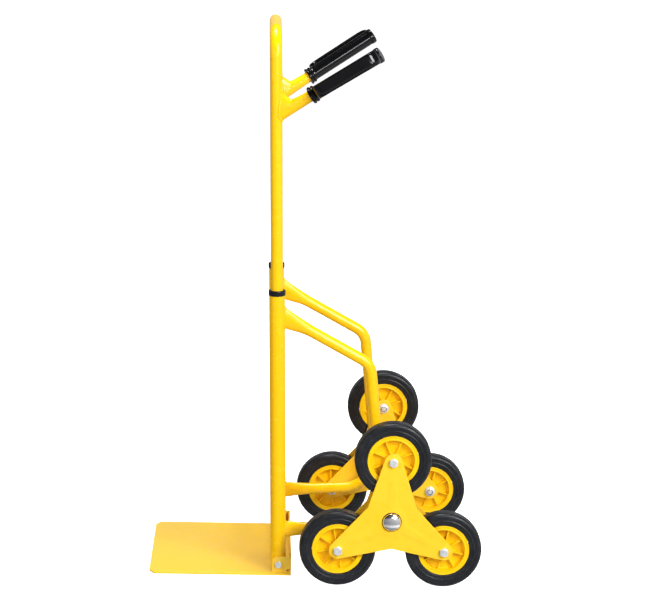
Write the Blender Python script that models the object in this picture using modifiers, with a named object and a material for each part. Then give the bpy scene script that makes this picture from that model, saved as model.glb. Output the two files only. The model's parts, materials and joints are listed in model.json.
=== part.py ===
"""Stair-climbing hand truck with a telescoping handle, a folding toe plate and two three-wheel clusters.

Metres, +Z up. X runs from the toe plate at -X to the wheels at +X, and Y runs across the truck with its
left side at -Y. The ground is z = 0, and the origin is under the centre of the whole object.
"""

from math import acos, atan2, cos, hypot, pi, radians, sin, sqrt, tan

import bmesh
import bpy
from mathutils import Euler, Matrix, Quaternion, Vector

GAP = 0.0003  # left between pieces that touch or are welded
OVERRUN = 0.01  # that a cutter reaches past what it cuts
LEFT, RIGHT = -1, 1
SIDES = {LEFT: "left", RIGHT: "right"}

# Wheels and clusters
TYRE_R = 0.0775
TYRE_HALF_WIDTH = 0.0178
TREAD_HALF_WIDTH = 0.0095
SHOULDERS = [(0.0018, 0.0025), (0.0062, 0.0)]  # each corner's distances in from the tread and the side
RIM_R = 0.0520
RIM_HALF_WIDTH = 0.0160
RIM_RING = 0.0092  # radial width of the rim's outer ring
RIM_BOSS_R = 0.013
RIM_WEB = 0.0025  # half the thickness of the web between boss and ring
RIB_COUNT = 8
RIB_THICKNESS = 0.0028
RIB_HALF_HEIGHT = 0.0110
RING_R = 0.1239  # from a cluster's hub to its wheel bolts
CLUSTER_Y = 0.2101  # the middle plane of the wheels
WHEEL_BOLT_R = 0.005
WHEEL_BOLT_FLATS = 0.017
WHEEL_BOLT_HEAD = 0.0062
WHEEL_NUT = 0.0075
WHEEL_WASHER_R = 0.0110
WASHER = 0.0015
BOLT_END = 0.003  # that a bolt stands out of its nut
PLATE_INSIDE = 0.0225  # from the wheels' middle plane to the star plates' inner faces
STAR_THICKNESS = 0.0032
STAR_TIP_R = 0.018
STAR_WAIST_R = 0.057  # from the hub to the inner corners between the arms
AXLE_R = 0.008
SPACER_R = 0.0115
HUB_SLEEVE_R = 0.015
CAP_R = 0.020
CAP_HEIGHT = 0.0105
CLUSTERS = {side: Vector((0.1527, side * CLUSTER_Y, TYRE_R + RING_R / 2)) for side in SIDES}
ARM_ANGLES = {"top": radians(90), "front": radians(210), "rear": radians(330)}

# Leaning frame: its own x is behind the uprights' axes, its own z is along them
LEAN = radians(1.4)
FRAME_X = -0.0726
UPRIGHT_Y = 0.139
UPRIGHT_R = 0.016
UPRIGHT_WALL = 0.0015
UPRIGHT_TOP = 0.5810
FOOT_R = 0.01645  # the uprights' feet are rounded about the toe plate's pivot, to clear it as it folds
CROSSBAR_R = 0.011
CROSSBARS = {"lower_crossbar": 0.105, "middle_crossbar": 0.330, "upper_crossbar": 0.505}
COLLAR_R = 0.0172
COLLAR_HEIGHT = 0.0108
COLLAR_SKIRT = 0.020
COLLAR_EDGE = 0.0015
TUBE_WALL = 0.0014
SIDE_TUBE_R = 0.0115
SIDE_TUBE_CORNERS = [(0.0, 0.546), (0.1886, 0.4374), (0.2195, 0.0960), (0.0, 0.0895)]
SIDE_TUBE_BENDS = [0.040, 0.070]
PRESSED = 0.065  # length of a side tube's end that is pressed flatter
PRESSED_TOP = (0.45, 1.65)  # its thickness and height at the end, in the round tube's diameters
PRESSED_FOOT = (0.55, 1.50)
HOUSING_R = 0.0125
HOUSING_HALF_LENGTH = 0.158

# Handle
HANDLE_R = 0.0122
HANDLE_BOTTOM = 0.515
HANDLE_TOP = 1.110
HANDLE_BEND = 0.050
STUB_R = 0.0112
STUB_HEIGHT = 0.9426  # where a grip's axis meets the handle leg's axis
STUB_PITCH = radians(31.4)
STUB_SPLAY = radians(11.5)
STUB_ROOT = 0.072  # length of a stub's flattened root
STUB_ROOT_TALL = 1.75  # its height at the handle leg's axis, in the round tube's diameters
STUB_ROOT_THIN = 0.60
STUB_INSIDE = 0.012  # that a stub stops short of its grip's far end
GRIP_START = 0.0820  # along the grip's axis, from the handle leg's axis
GRIP_LENGTH = 0.163
GRIP_R = 0.0150
GRIP_FLANGE = 0.003  # that the near flange stands proud
GRIP_FLANGE_LENGTH = 0.010
GRIP_END = 0.008  # thickness of the grip's closed end
GUARD_REACH = 0.0420  # from the grip's axis to the guard's outer face
GUARD_START = 0.015  # along the grip, from its flange
GUARD_END = 0.003  # short of the grip's far end
GUARD_THICKNESS = 0.0042
GUARD_HALF_WIDTH = 0.0135
GUARD_BENDS = (0.020, 0.016)  # the radii of its outer and inner corners

# Locks of the telescoping handle
LOCK_HEIGHT = 0.535
LOCK_PIN_R = 0.004
LOCK_HOUSING_R = 0.009
LOCK_HOUSING_LENGTH = 0.011
LOCK_KNOB_LENGTH = 0.008
LOCK_KNOB_R = 0.010
LOCK_KNOB_EDGE = 0.002
LOCK_PIN_PLAY = 0.0005  # between a pin's tip and the handle leg
LOCK_STEP = 0.165  # between the holes along a leg
LOCK_HOLES = 3

# Toe plate and its hinges
PIVOT_HEIGHT = 0.020
TOE_THICKNESS = 0.003
TOE_HALF_WIDTH = 0.170
TOE_FRONT_CHAMFER = 0.018
TOE_REAR = 0.0265  # behind the pivot
EAR_FRONT = 0.0120  # ahead of the pivot
EAR_TOP = 0.0165  # above the pivot
EAR_CORNER = 0.0105
EAR_THICKNESS = 0.003
EAR_PLAY = 0.0005  # between an ear and its upright
RELIEF_R = 0.0028  # the hole at an ear's lower rear corner
RELIEF_REAR = 0.0062
RELIEF_HEIGHT = 0.0072
HINGE_BOLT_R = 0.004
HINGE_BOLT_FLATS = 0.013
HINGE_BOLT_HEAD = 0.0053
HINGE_HOLE_R = 0.0043
HINGE_NUT = 0.0065
HINGE_WASHER_R = 0.0082

parts = bpy.data.collections.new("stair_hand_truck")
cutters = bpy.data.collections.new("cutters")


def clear_scene():
    for obj in list(bpy.data.objects):
        bpy.data.objects.remove(obj, do_unlink=True)
    bpy.context.scene.collection.children.link(parts)
    bpy.context.scene.collection.children.link(cutters)


def material(name, colour, roughness, metallic=0.0):
    made = bpy.data.materials.new(name)
    made.use_nodes = True
    shader = made.node_tree.nodes["Principled BSDF"]
    shader.inputs["Base Color"].default_value = (*colour, 1)
    shader.inputs["Roughness"].default_value = roughness
    shader.inputs["Metallic"].default_value = metallic
    made.diffuse_color = (*colour, 1)
    return made


def put(name, data, finish, parent=None, at=(0, 0, 0), turn=(0, 0, 0)):
    """A new part in the object's collection, placed in its parent's frame."""
    obj = bpy.data.objects.new(name, data)
    parts.objects.link(obj)
    obj.parent = parent
    obj.location = at
    obj.rotation_euler = turn
    data.materials.clear()
    data.materials.append(finish)
    return obj


def empty(name, at, parent=None, turn=(0, 0, 0)):
    obj = bpy.data.objects.new(name, None)
    parts.objects.link(obj)
    obj.parent = parent
    obj.location = at
    obj.rotation_euler = turn
    return obj


def outward(side):
    """The rotation that turns a part's own +Z away from the truck's middle."""
    return (-side * pi / 2, 0, 0)


def mesh_of(bm, name):
    mesh = bpy.data.meshes.new(name)
    bm.to_mesh(mesh)
    bm.free()
    return mesh


def rod_mesh(name, radius, low, high, segments=24):
    """A cylinder or prism along z from low to high."""
    bm = bmesh.new()
    middle = Matrix.Translation((0, 0, (low + high) / 2))
    bmesh.ops.create_cone(bm, cap_ends=True, segments=segments, radius1=radius, radius2=radius,
                          depth=high - low, matrix=middle)
    return mesh_of(bm, name)


def box_mesh(name, low, high):
    bm = bmesh.new()
    size = Vector(high) - Vector(low)
    middle = Matrix.Translation((Vector(high) + Vector(low)) / 2)
    bmesh.ops.create_cube(bm, size=1, matrix=middle @ Matrix.Diagonal((*size, 1)))
    return mesh_of(bm, name)


def turned_mesh(name, profile, steps):
    """A profile of (radius, z) points turned about z. It runs down the outer side.

    It closes itself unless it ends on the axis.
    """
    mesh = bpy.data.meshes.new(name)
    edges = [(i, i + 1) for i in range(len(profile) - 1)]
    if profile[0][0] > 0:
        edges.append((len(profile) - 1, 0))
    mesh.from_pydata([(radius, 0, z) for radius, z in profile], edges, [])
    obj = bpy.data.objects.new(name, mesh)
    cutters.objects.link(obj)
    screw = obj.modifiers.new("Turn", "SCREW")
    screw.steps = steps
    screw.render_steps = steps
    screw.use_merge_vertices = True
    screw.merge_threshold = 0.00001
    return baked(obj)


def baked(obj):
    """The object's shape with its modifiers, as a mesh of its own. The object is removed."""
    bpy.context.view_layer.update()
    graph = bpy.context.evaluated_depsgraph_get()
    mesh = bpy.data.meshes.new_from_object(obj.evaluated_get(graph))
    bm = bmesh.new()
    bm.from_mesh(mesh)
    bmesh.ops.remove_doubles(bm, verts=bm.verts, dist=0.000001)
    bm.to_mesh(mesh)
    bm.free()
    mesh.name = obj.name
    bpy.data.objects.remove(obj, do_unlink=True)
    return mesh


def curve_mesh(name, splines, bevel=0.0, extrude=0.0, sides=4):
    """A tube along an open 3D path where bevel is given, or flat outlines in XY given a thickness."""
    curve = bpy.data.curves.new(name, "CURVE")
    curve.dimensions = "3D" if bevel else "2D"
    curve.bevel_depth = bevel
    curve.bevel_resolution = sides
    curve.extrude = extrude
    if bevel:
        curve.use_fill_caps = True
    else:
        curve.fill_mode = "BOTH"
    for points in splines:
        spline = curve.splines.new("POLY")
        spline.points.add(len(points) - 1)
        spline.use_cyclic_u = not bevel
        for vertex, point in zip(spline.points, points):
            vertex.co = (*Vector(point).to_3d(), 1)
    obj = bpy.data.objects.new(name, curve)
    cutters.objects.link(obj)
    return baked(obj)


def arc(centre, radius, start, end, steps):
    return [(centre[0] + radius * cos(start + (end - start) * i / steps),
             centre[1] + radius * sin(start + (end - start) * i / steps)) for i in range(steps + 1)]


def circle(centre, radius, steps=12):
    return arc(centre, radius, 0, 2 * pi, steps)[:-1]


def bent_path(corners, bends, steps=5):
    """The corners of a path in one plane, each inner one replaced by an arc of its bend's radius."""
    path = [Vector(corners[0])]
    for before, corner, after, bend in zip(corners, corners[1:], corners[2:], bends):
        corner = Vector(corner)
        into = (Vector(before) - corner).normalized()
        out = (Vector(after) - corner).normalized()
        half = into.angle(out) / 2
        centre = corner + (into + out).normalized() * bend / sin(half)
        first = corner + into * bend / tan(half) - centre
        last = corner + out * bend / tan(half) - centre
        axis = first.cross(last).normalized()
        turn = first.angle(last) / steps
        path += [centre + Quaternion(axis, turn * i) @ first for i in range(steps + 1)]
    return path + [Vector(corners[-1])]


def with_stops(path, stops):
    """The path with extra points at these distances from its start and from its end."""
    start = (path[1] - path[0]).normalized()
    end = (path[-2] - path[-1]).normalized()
    return ([path[0]] + [path[0] + start * stop for stop in stops] + path[1:-1]
            + [path[-1] + end * stop for stop in reversed(stops)] + [path[-1]])


def press_flat(mesh, end, direction, reach, thin, tall):
    """Presses a round tube's end to an oval, thin along Y and tall in the plane of the bends."""
    across = direction.cross(Vector((0, 1, 0))).normalized()
    side = direction.cross(across)
    for vertex in mesh.vertices:
        offset = vertex.co - end
        along = offset.dot(direction)
        if along < reach - GAP / 10 and offset.length < 1.5 * reach:
            amount = 1 - max(along, 0) / reach
            vertex.co += across * offset.dot(across) * (tall - 1) * amount
            vertex.co += side * offset.dot(side) * (thin - 1) * amount


def cutter(name, data, parent=None, at=(0, 0, 0), turn=(0, 0, 0)):
    """An object that only cuts others, and isn't a part."""
    obj = bpy.data.objects.new(name, data)
    cutters.objects.link(obj)
    obj.parent = parent
    obj.location = at
    obj.rotation_euler = turn
    obj.hide_render = True
    obj.display_type = "WIRE"
    return obj


def combine(obj, operation, others):
    """Gives the object an exact Boolean with each of the others."""
    for other in others:
        boolean = obj.modifiers.new(other.name, "BOOLEAN")
        boolean.operation = operation
        boolean.solver = "EXACT"
        boolean.object = other
    return obj


def joined_mesh(name, base, others, operation="UNION"):
    """One mesh made of a base mesh and others, all in the same frame."""
    obj = bpy.data.objects.new(name, base)
    cutters.objects.link(obj)
    tools = [cutter(f"{name}_tool", mesh) for mesh in others]
    mesh = baked(combine(obj, operation, tools))
    for tool in tools:
        bpy.data.objects.remove(tool, do_unlink=True)
    return mesh


def hollow_profile(outer, inner, low, high):
    return [(outer, high), (outer, low), (inner, low), (inner, high)]


# Frame


def in_frame(x, y, z):
    """A place in the leaning frame, in the object's own frame."""
    return Vector((FRAME_X, 0, 0)) + Euler((0, -LEAN, 0)).to_matrix() @ Vector((x, y, z))


def frame_cutters(lean):
    """What the frame's pieces are cut with, by name and side."""
    found = {}
    for side, word in SIDES.items():
        at = Vector((0, side * UPRIGHT_Y, 0))
        tube = rod_mesh("upright_space", UPRIGHT_R + GAP, -OVERRUN, UPRIGHT_TOP + OVERRUN)
        found["upright", side] = cutter(f"{word}_upright_space", tube, lean, at)
        leg = rod_mesh("leg_space", HANDLE_R + GAP, UPRIGHT_TOP, HANDLE_TOP)
        found["leg", side] = cutter(f"{word}_leg_space", leg, lean, at)
        hinge = rod_mesh("hinge_hole", HINGE_HOLE_R, -2 * UPRIGHT_R, 2 * UPRIGHT_R, 12)
        found["hinge", side] = cutter(f"{word}_hinge_hole", hinge, lean,
                                      at + Vector((0, 0, PIVOT_HEIGHT)), outward(side))
        hole = rod_mesh("lock_hole", LOCK_PIN_R + GAP, -2 * UPRIGHT_R, 0, 12)
        places = [at + Vector((0, 0, LOCK_HEIGHT + i * LOCK_STEP)) for i in range(LOCK_HOLES)]
        found["lock", side] = [cutter(f"{word}_lock_hole", hole, lean, place, outward(side))
                               for place in places]
    housing = rod_mesh("housing_space", HOUSING_R + GAP, -CLUSTER_Y, CLUSTER_Y)
    found["housing"] = cutter("housing_space", housing, None,
                              (CLUSTERS[RIGHT].x, 0, CLUSTERS[RIGHT].z), outward(RIGHT))
    outline = [(2 * UPRIGHT_R, UPRIGHT_TOP + OVERRUN), (-2 * UPRIGHT_R, UPRIGHT_TOP + OVERRUN),
               (-2 * UPRIGHT_R, PIVOT_HEIGHT), *arc((0, PIVOT_HEIGHT), FOOT_R, pi, 2 * pi, 15),
               (2 * UPRIGHT_R, PIVOT_HEIGHT)]
    foot = curve_mesh("foot_shape", [outline], extrude=2 * UPRIGHT_Y)
    found["foot"] = cutter("foot_shape", foot, lean, turn=(pi / 2, 0, 0))
    return found


def upright(side, lean, spaces):
    profile = hollow_profile(UPRIGHT_R, UPRIGHT_R - UPRIGHT_WALL, 0, UPRIGHT_TOP)
    mesh = turned_mesh("upright", profile, 20)
    obj = put(f"{SIDES[side]}_upright", mesh, yellow, lean, (0, side * UPRIGHT_Y, 0))
    combine(obj, "INTERSECT", [spaces["foot"]])
    return combine(obj, "DIFFERENCE", [spaces["hinge", side], spaces["lock", side][0]])


def crossbar(name, height, lean, spaces):
    profile = hollow_profile(CROSSBAR_R, CROSSBAR_R - TUBE_WALL, -UPRIGHT_Y, UPRIGHT_Y)
    obj = put(name, turned_mesh(name, profile, 12), yellow, lean, (0, 0, height), outward(RIGHT))
    return combine(obj, "DIFFERENCE", [spaces["upright", LEFT], spaces["upright", RIGHT]])


def side_tube_mesh(name, radius, sides, overrun):
    corners = [Vector((x, 0, z)) for x, z in SIDE_TUBE_CORNERS]
    path = with_stops(bent_path(corners, SIDE_TUBE_BENDS), [PRESSED / 3, PRESSED])
    top = path[0].copy()
    foot = path[-1].copy()
    top_way = (path[1] - top).normalized()
    foot_way = (path[-2] - foot).normalized()
    path[0] -= top_way * overrun
    path[-1] -= foot_way * overrun
    mesh = curve_mesh(name, [path], bevel=radius, sides=sides)
    press_flat(mesh, top, top_way, PRESSED, *PRESSED_TOP)
    press_flat(mesh, foot, foot_way, PRESSED, *PRESSED_FOOT)
    return mesh


def side_tube(side, lean, spaces):
    """The tube from an upright back and down to the axle, and forward to the upright's foot."""
    mesh = side_tube_mesh("side_tube", SIDE_TUBE_R, 3, 0)
    bore = side_tube_mesh("side_tube_bore", SIDE_TUBE_R - TUBE_WALL, 2, OVERRUN / 5)
    at = (0, side * UPRIGHT_Y, 0)
    obj = put(f"{SIDES[side]}_side_tube", mesh, yellow, lean, at)
    inside = cutter(f"{SIDES[side]}_side_tube_bore", bore, lean, at)
    return combine(obj, "DIFFERENCE", [inside, spaces["upright", side], spaces["housing"]])


def axle_pieces():
    place = (CLUSTERS[RIGHT].x, 0, CLUSTERS[RIGHT].z)
    profile = hollow_profile(HOUSING_R, AXLE_R + GAP, -HOUSING_HALF_LENGTH, HOUSING_HALF_LENGTH)
    put("axle_housing", turned_mesh("axle_housing", profile, 16), yellow, None, place, outward(RIGHT))
    end = CLUSTER_Y + PLATE_INSIDE + STAR_THICKNESS + CAP_HEIGHT / 2
    put("axle", rod_mesh("axle", AXLE_R, -end, end), zinc, None, place, outward(RIGHT))
    inner_plate = CLUSTER_Y - PLATE_INSIDE - STAR_THICKNESS
    for side, word in SIDES.items():
        ring = hollow_profile(SPACER_R, AXLE_R + GAP, HOUSING_HALF_LENGTH + GAP, inner_plate - GAP)
        put(f"{word}_axle_spacer", turned_mesh("axle_spacer", ring, 16), zinc, None, place, outward(side))


def collar(side, lean):
    """The plastic bush that guides a handle leg: a ring on the upright's end and a skirt inside it."""
    bore = HANDLE_R + GAP
    skirt_r = UPRIGHT_R - UPRIGHT_WALL - GAP
    low = UPRIGHT_TOP + GAP
    high = low + COLLAR_HEIGHT
    bottom = UPRIGHT_TOP - COLLAR_SKIRT
    profile = [(bore, high), (COLLAR_R - COLLAR_EDGE, high), (COLLAR_R, high - COLLAR_EDGE),
               (COLLAR_R, low), (skirt_r, low), (skirt_r, bottom), (bore, bottom)]
    put(f"{SIDES[side]}_collar", turned_mesh("collar", profile, 20), black, lean, (0, side * UPRIGHT_Y, 0))


def lock(side, lean, spaces):
    """A sprung pin in a short housing on the upright's inner side, pulled by its knob."""
    at = (0, side * UPRIGHT_Y, LOCK_HEIGHT)
    inward = outward(-side)
    end = UPRIGHT_R + GAP + LOCK_HOUSING_LENGTH
    ring = hollow_profile(LOCK_HOUSING_R, LOCK_PIN_R + GAP, HANDLE_R, end)
    mesh = turned_mesh("lock_housing", ring, 14)
    housing = put(f"{SIDES[side]}_lock_housing", mesh, zinc, lean, at, inward)
    combine(housing, "DIFFERENCE", [spaces["upright", side]])
    tip = HANDLE_R + LOCK_PIN_PLAY
    top = end + GAP + LOCK_KNOB_LENGTH
    profile = [(0, top), (LOCK_KNOB_R - LOCK_KNOB_EDGE, top), (LOCK_KNOB_R, top - LOCK_KNOB_EDGE),
               (LOCK_KNOB_R, end + GAP), (LOCK_PIN_R, end + GAP), (LOCK_PIN_R, tip), (0, tip)]
    put(f"{SIDES[side]}_lock_knob", turned_mesh("lock_knob", profile, 14), black, lean, at, inward)


# Fasteners


def bolt_mesh(name, shank_r, across_flats, head, shank):
    """A hex bolt along z: its head stands on z = 0, and its shank runs down from it."""
    hexagon = rod_mesh(name, across_flats / sqrt(3), 0, head, 6)
    stem = rod_mesh(name, shank_r, -shank, head / 2, 12)
    return joined_mesh(name, hexagon, [stem])


def nut_mesh(name, bore_r, across_flats, height, washer_r, washer):
    """A hex nut on its washer along z: the washer's face is at z = 0."""
    hexagon = rod_mesh(name, across_flats / sqrt(3), washer / 2, washer + height, 6)
    disc = rod_mesh(name, washer_r, 0, washer, 16)
    solid = joined_mesh(name, disc, [hexagon])
    bore = rod_mesh(name, bore_r, -OVERRUN, 2 * height + OVERRUN, 12)
    return joined_mesh(name, solid, [bore], "DIFFERENCE")


# Handle


def handle_mesh(name, radius, bottom, sides):
    corners = [Vector((0, LEFT * UPRIGHT_Y, bottom)), Vector((0, LEFT * UPRIGHT_Y, HANDLE_TOP)),
               Vector((0, RIGHT * UPRIGHT_Y, HANDLE_TOP)), Vector((0, RIGHT * UPRIGHT_Y, bottom))]
    return curve_mesh(name, [bent_path(corners, [HANDLE_BEND, HANDLE_BEND])], bevel=radius, sides=sides)


def handle_tube(lean, spaces):
    """The loop, with a row of holes along the inner side of each leg for the locks' pins."""
    obj = put("handle_tube", handle_mesh("handle_tube", HANDLE_R, HANDLE_BOTTOM, 4), yellow, lean)
    bore = handle_mesh("handle_bore", HANDLE_R - TUBE_WALL, HANDLE_BOTTOM - OVERRUN, 2)
    holes = spaces["lock", LEFT] + spaces["lock", RIGHT]
    return combine(obj, "DIFFERENCE", [cutter("handle_bore", bore, lean), *holes])


def grip_axis(side, lean):
    """An empty on a handle leg's axis, its z along the grip and its y level and away from the middle."""
    direction = Vector((cos(STUB_PITCH) * cos(STUB_SPLAY), side * cos(STUB_PITCH) * sin(STUB_SPLAY),
                        sin(STUB_PITCH)))
    level = Vector((-direction.y, direction.x, 0)).normalized() * side
    turn = Matrix((level.cross(direction), level, direction)).transposed()
    return empty(f"{SIDES[side]}_grip_axis", (0, side * UPRIGHT_Y, STUB_HEIGHT), lean, turn.to_euler())


def stub_mesh(name, radius, sides, overrun):
    """A stub along z from the handle leg's axis, flattened along y at its root."""
    end = GRIP_START + GRIP_LENGTH - STUB_INSIDE
    path = [Vector((0, 0, z)) for z in (-overrun, STUB_ROOT / 2, STUB_ROOT, end + overrun)]
    mesh = curve_mesh(name, [path], bevel=radius, sides=sides)
    for vertex in mesh.vertices:
        amount = max(0, 1 - max(vertex.co.z, 0) / STUB_ROOT)
        vertex.co.x *= 1 + (STUB_ROOT_TALL - 1) * amount
        vertex.co.y *= 1 + (STUB_ROOT_THIN - 1) * amount
    return mesh


def grip_stub(side, axis, spaces):
    """The tube welded to the back of a handle leg, with its flattened root, that carries the grip."""
    obj = put(f"{SIDES[side]}_grip_stub", stub_mesh("grip_stub", STUB_R, 4, 0), yellow, axis)
    inside = stub_mesh("stub_bore", STUB_R - TUBE_WALL, 2, OVERRUN / 2)
    bore = cutter(f"{SIDES[side]}_stub_bore", inside, axis)
    return combine(obj, "DIFFERENCE", [bore, spaces["leg", side]])


def guard_loop(root, reach, start, stop, bend):
    """A rectangle of (distance from the grip's axis, distance along it), its two far corners rounded."""
    first = arc((reach - bend, start + bend), bend, -pi / 2, 0, 5)
    second = arc((reach - bend, stop - bend), bend, 0, pi / 2, 5)
    return [(root, start), *first, *second, (root, stop)]


def grip_mesh():
    """A grip along z with a flange at each end, a blind bore, and a knuckle guard on its +y side."""
    bore = STUB_R + GAP
    end = GRIP_LENGTH
    edge = GRIP_R / 15
    proud = GRIP_R + GRIP_FLANGE
    profile = [(0, end), (GRIP_R - edge, end), (GRIP_R + edge, end - 2 * edge),
               (GRIP_R + edge, end - 7 * edge), (GRIP_R - edge, end - 9 * edge),
               (GRIP_R - edge / 2, GRIP_FLANGE_LENGTH + 4 * edge), (proud, GRIP_FLANGE_LENGTH), (proud, 0),
               (bore, 0), (bore, end - GRIP_END), (0, end - GRIP_END)]
    stop = end - GUARD_END
    outer = guard_loop(GRIP_R / 3, GUARD_REACH, GUARD_START, stop, GUARD_BENDS[0])
    inner = guard_loop(0.9 * GRIP_R, GUARD_REACH - GUARD_THICKNESS, GUARD_START + GUARD_THICKNESS,
                       stop - 1.4 * GUARD_THICKNESS, GUARD_BENDS[1])
    flat = curve_mesh("guard", [outer, inner], extrude=GUARD_HALF_WIDTH)
    # The outline's x runs away from the grip and its y along it, and its thickness is across both.
    flat.transform(Matrix(((0, 0, 1, 0), (1, 0, 0, 0), (0, 1, 0, 0), (0, 0, 0, 1))))
    clear_bore = rod_mesh("bore", bore, -OVERRUN, end - GRIP_END, 18)
    guard = joined_mesh("guard", flat, [clear_bore], "DIFFERENCE")
    return joined_mesh("grip", turned_mesh("grip", profile, 18), [guard])


# Toe plate


def plate_outline(front):
    """The plate seen from above, with its front corners cut off, about the pivot."""
    cut = TOE_FRONT_CHAMFER
    wide = TOE_HALF_WIDTH
    return [(front, -wide + cut), (front + 0.6 * cut, -wide), (TOE_REAR, -wide), (TOE_REAR, wide),
            (front + 0.6 * cut, wide), (front, wide - cut)]


def toe_plate(pivot):
    """A flat plate with a flange along its rear edge and an ear outside each upright, hinged at the ears."""
    front = -(CLUSTERS[RIGHT].x + RING_R * cos(radians(30)) + TYRE_R) - pivot.location.x
    bottom = -pivot.location.z
    plate = curve_mesh("plate", [plate_outline(front)], extrude=TOE_THICKNESS / 2)
    plate.transform(Matrix.Translation((0, 0, bottom + TOE_THICKNESS / 2)))
    ear_y = UPRIGHT_Y + UPRIGHT_R + EAR_PLAY + EAR_THICKNESS / 2
    low = bottom + TOE_THICKNESS / 3
    rear = TOE_REAR - GAP / 3
    flange = box_mesh("flange", (rear - TOE_THICKNESS, -ear_y, low), (rear, ear_y, EAR_TOP - 2 * GAP))
    ear_rear = rear - TOE_THICKNESS / 3
    outline = ([(ear_rear, low), (ear_rear, EAR_TOP)]
               + arc((-EAR_FRONT + EAR_CORNER, EAR_TOP - EAR_CORNER), EAR_CORNER, pi / 2, pi, 6)
               + [(-EAR_FRONT, low)])
    relief = circle((TOE_REAR - RELIEF_REAR, bottom + RELIEF_HEIGHT), RELIEF_R, 8)
    ear = curve_mesh("ear", [outline, circle((0, 0), HINGE_HOLE_R), relief], extrude=EAR_THICKNESS / 2)
    ear.transform(Matrix.Rotation(pi / 2, 4, "X"))
    ears = []
    for side in SIDES:
        ears.append(ear.copy())
        ears[-1].transform(Matrix.Translation((0, side * ear_y, 0)))
    put("toe_plate", joined_mesh("toe_plate", plate, [flange, *ears]), pale_yellow, pivot)


def hinge_fasteners(lean):
    """The bolt through an ear and an upright, and its nut on the upright's inner side."""
    head_plane = UPRIGHT_R + EAR_PLAY + EAR_THICKNESS + GAP
    nut_plane = UPRIGHT_R + GAP
    length = head_plane + nut_plane + WASHER + HINGE_NUT + BOLT_END
    bolt = bolt_mesh("hinge_bolt", HINGE_BOLT_R, HINGE_BOLT_FLATS, HINGE_BOLT_HEAD, length)
    nut = nut_mesh("hinge_nut", HINGE_HOLE_R, HINGE_BOLT_FLATS, HINGE_NUT, HINGE_WASHER_R, WASHER)
    for side, word in SIDES.items():
        axis = Vector((0, side * UPRIGHT_Y, PIVOT_HEIGHT))
        out = Vector((0, side, 0))
        put(f"{word}_hinge_bolt", bolt, zinc, lean, axis + out * head_plane, outward(side))
        put(f"{word}_hinge_nut", nut, zinc, lean, axis - out * nut_plane, outward(-side))


# Clusters


def star_outline(up):
    """Three round-ended arms that widen towards the hub. Up is 1 or -1: the side of the first arm."""
    corner_x = STAR_WAIST_R * cos(radians(60)) - RING_R
    corner_y = STAR_WAIST_R * sin(radians(60))
    tip_turn = atan2(corner_y, corner_x) - acos(STAR_TIP_R / hypot(corner_x, corner_y))
    points = []
    for angle in ARM_ANGLES.values():
        tip = (RING_R * cos(angle), RING_R * sin(angle))
        points += arc(tip, STAR_TIP_R, angle - tip_turn, angle + tip_turn, 6)
        points.append((STAR_WAIST_R * cos(angle + pi / 3), STAR_WAIST_R * sin(angle + pi / 3)))
    return [(x, up * y) for x, y in points]


def star_mesh(up):
    holes = [circle((RING_R * cos(angle), up * RING_R * sin(angle)), WHEEL_BOLT_R + GAP)
             for angle in ARM_ANGLES.values()]
    holes.append(circle((0, 0), AXLE_R + GAP, 16))
    return curve_mesh("star_plate", [star_outline(up), *holes], extrude=STAR_THICKNESS / 2)


def rim_mesh():
    """A ribbed rim turned about z: ring, web and hub boss, with ribs on both faces of the web."""
    inner = RIM_R - RIM_RING
    half = [(RIM_R, RIM_HALF_WIDTH), (inner, RIM_HALF_WIDTH), (inner - 0.001, RIM_WEB), (RIM_BOSS_R, RIM_WEB),
            (RIM_BOSS_R, PLATE_INSIDE - GAP), (WHEEL_BOLT_R + GAP, PLATE_INSIDE - GAP)]
    profile = [(radius, -z) for radius, z in half] + half[::-1]
    body = turned_mesh("rim", profile, 20)
    ribs = []
    for i in range(RIB_COUNT):
        rib = box_mesh("rib", (RIM_BOSS_R - 0.002, -RIB_THICKNESS / 2, -RIB_HALF_HEIGHT),
                       (inner + 0.002, RIB_THICKNESS / 2, RIB_HALF_HEIGHT))
        rib.transform(Matrix.Rotation((i + 0.5) * 2 * pi / RIB_COUNT, 4, "Z"))
        ribs.append(rib)
    return joined_mesh("rim", body, ribs)


def tyre_mesh():
    wide = TYRE_HALF_WIDTH
    half = [(TYRE_R, TREAD_HALF_WIDTH), *[(TYRE_R - down, wide - into) for down, into in SHOULDERS],
            (RIM_R + 2 * GAP, RIM_HALF_WIDTH - GAP)]
    profile = half[::-1] + [(radius, -z) for radius, z in half]
    return turned_mesh("tyre", profile, 28)


def hub_cap_mesh():
    """A dome with a blind hole in its flat base for the end of the axle."""
    turns = [i * pi / 6 for i in range(4)]
    dome = [(CAP_R * sin(turn), CAP_HEIGHT * (0.25 + 0.75 * cos(turn))) for turn in turns]
    bore = AXLE_R + GAP
    depth = CAP_HEIGHT / 2 + GAP
    return turned_mesh("hub_cap", dome + [(CAP_R, 0), (bore, 0), (bore, depth), (0, depth)], 18)


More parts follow.
